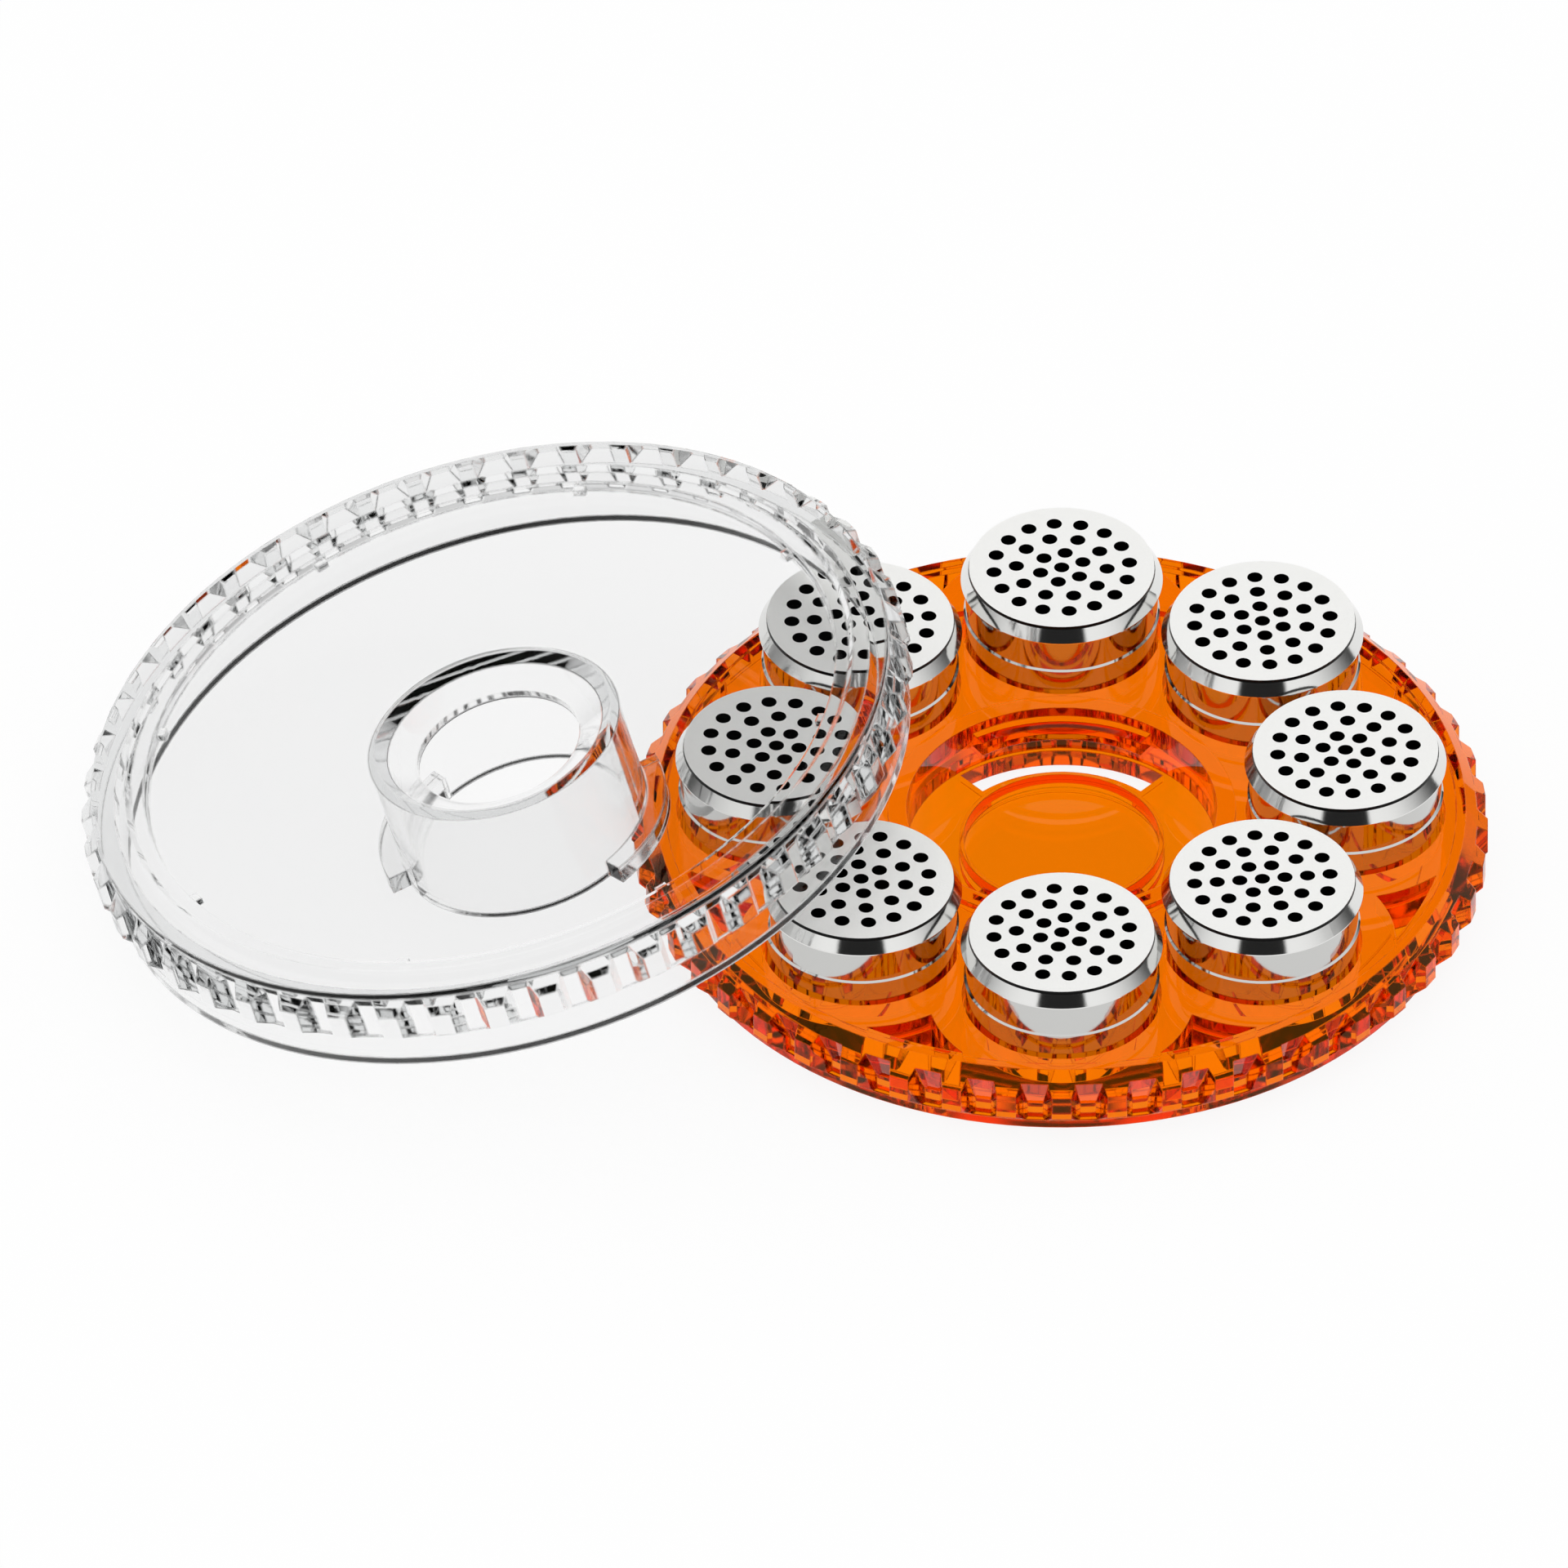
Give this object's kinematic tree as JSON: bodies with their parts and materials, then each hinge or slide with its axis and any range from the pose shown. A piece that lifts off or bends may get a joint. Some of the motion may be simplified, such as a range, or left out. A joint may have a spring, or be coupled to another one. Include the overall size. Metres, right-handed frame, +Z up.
{
  "type": "capsule magazine",
  "caption": "Round toothed tray of transparent orange plastic that stores metal dosing capsules with sieve caps, with its clear filling-funnel lid taken off and leaning on it.",
  "frame": {"origin": "centre of the tray's underside, on the surface that it stands on", "axes": "+Z up along the axis of the tray, +X to the right in the picture, away from the lid that leans on the left, +Y to the back"},
  "size_m": [0.1155, 0.07, 0.0246],
  "materials": {
    "orange_plastic": "transparent orange, polished",
    "clear_plastic": "water-clear, polished",
    "capsule_metal": "bright rolled"
  },
  "bodies": {
    "base": {"base_tray": "orange_plastic"},
    "lid": {"lid": "clear_plastic"},
    "cup_1": {"capsule_cup_1": "capsule_metal"},
    "cap_1": {"capsule_cap_1": "capsule_metal", "capsule_sieve_1": "capsule_metal"},
    "cup_2": {"capsule_cup_2": "capsule_metal"},
    "cap_2": {"capsule_cap_2": "capsule_metal", "capsule_sieve_2": "capsule_metal"},
    "cup_3": {"capsule_cup_3": "capsule_metal"},
    "cap_3": {"capsule_cap_3": "capsule_metal", "capsule_sieve_3": "capsule_metal"},
    "cup_4": {"capsule_cup_4": "capsule_metal"},
    "cap_4": {"capsule_cap_4": "capsule_metal", "capsule_sieve_4": "capsule_metal"},
    "cup_5": {"capsule_cup_5": "capsule_metal"},
    "cap_5": {"capsule_cap_5": "capsule_metal", "capsule_sieve_5": "capsule_metal"},
    "cup_6": {"capsule_cup_6": "capsule_metal"},
    "cap_6": {"capsule_cap_6": "capsule_metal", "capsule_sieve_6": "capsule_metal"},
    "cup_7": {"capsule_cup_7": "capsule_metal"},
    "cap_7": {"capsule_cap_7": "capsule_metal", "capsule_sieve_7": "capsule_metal"},
    "cup_8": {"capsule_cup_8": "capsule_metal"},
    "cap_8": {"capsule_cap_8": "capsule_metal", "capsule_sieve_8": "capsule_metal"}
  },
  "joints": [
    {"name": "lid_lift", "type": "slide", "parent": "base", "child": "lid", "axis": [0, 0, 1], "range_m": [0, 0.06]},
    {"name": "capsule_1_lift", "type": "slide", "parent": "base", "child": "cup_1", "axis": [0, 0, 1], "range_m": [0, 0.015]},
    {"name": "cap_1_pull", "type": "slide", "parent": "cup_1", "child": "cap_1", "axis": [0, 0, 1], "range_m": [0, 0.008]},
    {"name": "capsule_2_lift", "type": "slide", "parent": "base", "child": "cup_2", "axis": [0, 0, 1], "range_m": [0, 0.015]},
    {"name": "cap_2_pull", "type": "slide", "parent": "cup_2", "child": "cap_2", "axis": [0, 0, 1], "range_m": [0, 0.008]},
    {"name": "capsule_3_lift", "type": "slide", "parent": "base", "child": "cup_3", "axis": [0, 0, 1], "range_m": [0, 0.015]},
    {"name": "cap_3_pull", "type": "slide", "parent": "cup_3", "child": "cap_3", "axis": [0, 0, 1], "range_m": [0, 0.008]},
    {"name": "capsule_4_turn", "type": "hinge", "parent": "base", "child": "cup_4", "pos_m": [-0.01648, 0.01648, 0.0031], "axis": [0, 0, 1], "continuous": true},
    {"name": "cap_4_turn", "type": "hinge", "parent": "cup_4", "child": "cap_4", "pos_m": [-0.01648, 0.01648, 0.0031], "axis": [0, 0, 1], "continuous": true},
    {"name": "capsule_5_turn", "type": "hinge", "parent": "base", "child": "cup_5", "pos_m": [-0.0233, 0, 0.0031], "axis": [0, 0, 1], "continuous": true},
    {"name": "cap_5_turn", "type": "hinge", "parent": "cup_5", "child": "cap_5", "pos_m": [-0.0233, 0, 0.0031], "axis": [0, 0, 1], "continuous": true},
    {"name": "capsule_6_turn", "type": "hinge", "parent": "base", "child": "cup_6", "pos_m": [-0.01648, -0.01648, 0.0031], "axis": [0, 0, 1], "continuous": true},
    {"name": "cap_6_turn", "type": "hinge", "parent": "cup_6", "child": "cap_6", "pos_m": [-0.01648, -0.01648, 0.0031], "axis": [0, 0, 1], "continuous": true},
    {"name": "capsule_7_lift", "type": "slide", "parent": "base", "child": "cup_7", "axis": [0, 0, 1], "range_m": [0, 0.015]},
    {"name": "cap_7_pull", "type": "slide", "parent": "cup_7", "child": "cap_7", "axis": [0, 0, 1], "range_m": [0, 0.008]},
    {"name": "capsule_8_lift", "type": "slide", "parent": "base", "child": "cup_8", "axis": [0, 0, 1], "range_m": [0, 0.015]},
    {"name": "cap_8_pull", "type": "slide", "parent": "cup_8", "child": "cap_8", "axis": [0, 0, 1], "range_m": [0, 0.008]}
  ]
}
